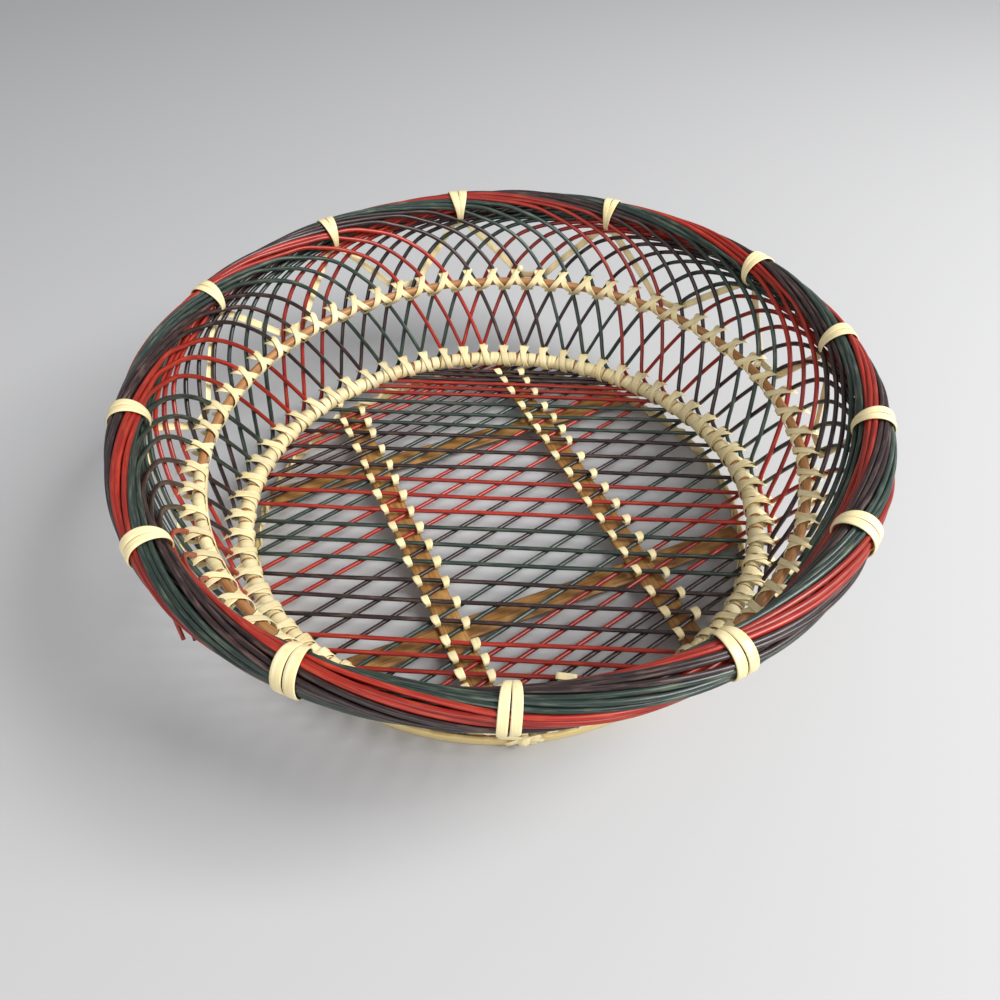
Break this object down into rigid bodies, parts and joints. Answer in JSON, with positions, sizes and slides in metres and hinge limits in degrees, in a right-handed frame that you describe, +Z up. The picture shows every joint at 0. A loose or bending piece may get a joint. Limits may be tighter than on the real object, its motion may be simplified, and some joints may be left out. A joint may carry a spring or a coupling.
{
  "type": "rattan basket",
  "caption": "Shallow round open basket of red, green and purple rattan rods: crossed trellis wall, thick rolled border tied with pale cane, and a gridded floor on a foot hoop.",
  "frame": {"origin": "centre of the basket's footprint, on the surface that it stands on", "axes": "+Z up along the basket's axis; +Y away from the picture's camera; +X to its right"},
  "size_m": [0.3008, 0.3016, 0.0937],
  "materials": {
    "red_rattan": "satin stain",
    "green_rattan": "satin stain",
    "purple_rattan": "satin stain",
    "pale_cane": "natural, semi-matt",
    "hoop_rattan": "natural, semi-matt",
    "slat_cane": "natural, matt",
    "foot_cane": "natural, semi-matt"
  },
  "bodies": {
    "root": {"wall_rods_purple_1": "purple_rattan", "wall_rods_green_2": "green_rattan", "wall_rods_red_3": "red_rattan", "wall_rods_purple_4": "purple_rattan", "wall_rods_green_5": "green_rattan", "wall_rods_red_6": "red_rattan", "wall_rods_purple_7": "purple_rattan", "wall_rods_green_8": "green_rattan", "wall_rods_red_9": "red_rattan", "wall_rods_purple_10": "purple_rattan", "wall_rods_green_11": "green_rattan", "wall_rods_red_12": "red_rattan", "wall_rods_purple_13": "purple_rattan", "wall_rods_green_14": "green_rattan", "wall_rods_red_15": "red_rattan", "wall_rods_purple_16": "purple_rattan", "wall_rods_green_17": "green_rattan", "wall_rods_red_18": "red_rattan", "wall_rods_purple_19": "purple_rattan", "wall_rods_green_20": "green_rattan", "wall_rods_red_21": "red_rattan", "floor_rods_purple": "purple_rattan", "floor_rods_green": "green_rattan", "floor_rods_red": "red_rattan", "rolled_border": "green_rattan", "base_hoop": "hoop_rattan", "mid_hoop": "hoop_rattan", "foot_hoop": "foot_cane", "lower_slat_1": "slat_cane", "upper_slat_1": "slat_cane", "lower_slat_2": "slat_cane", "upper_slat_2": "slat_cane", "base_lashing": "pale_cane", "mid_lashing": "pale_cane", "foot_lacing": "pale_cane", "brace_cane": "pale_cane", "slat_stitching_1": "pale_cane", "slat_stitching_2": "pale_cane", "slat_stitching_3": "pale_cane", "slat_stitching_4": "pale_cane", "border_tie_1": "pale_cane", "border_tie_2": "pale_cane", "border_tie_3": "pale_cane", "border_tie_4": "pale_cane", "border_tie_5": "pale_cane", "border_tie_6": "pale_cane", "border_tie_7": "pale_cane", "border_tie_8": "pale_cane", "border_tie_9": "pale_cane", "border_tie_10": "pale_cane", "border_tie_11": "pale_cane", "border_tie_12": "pale_cane", "border_tie_13": "pale_cane"}
  },
  "joints": []
}
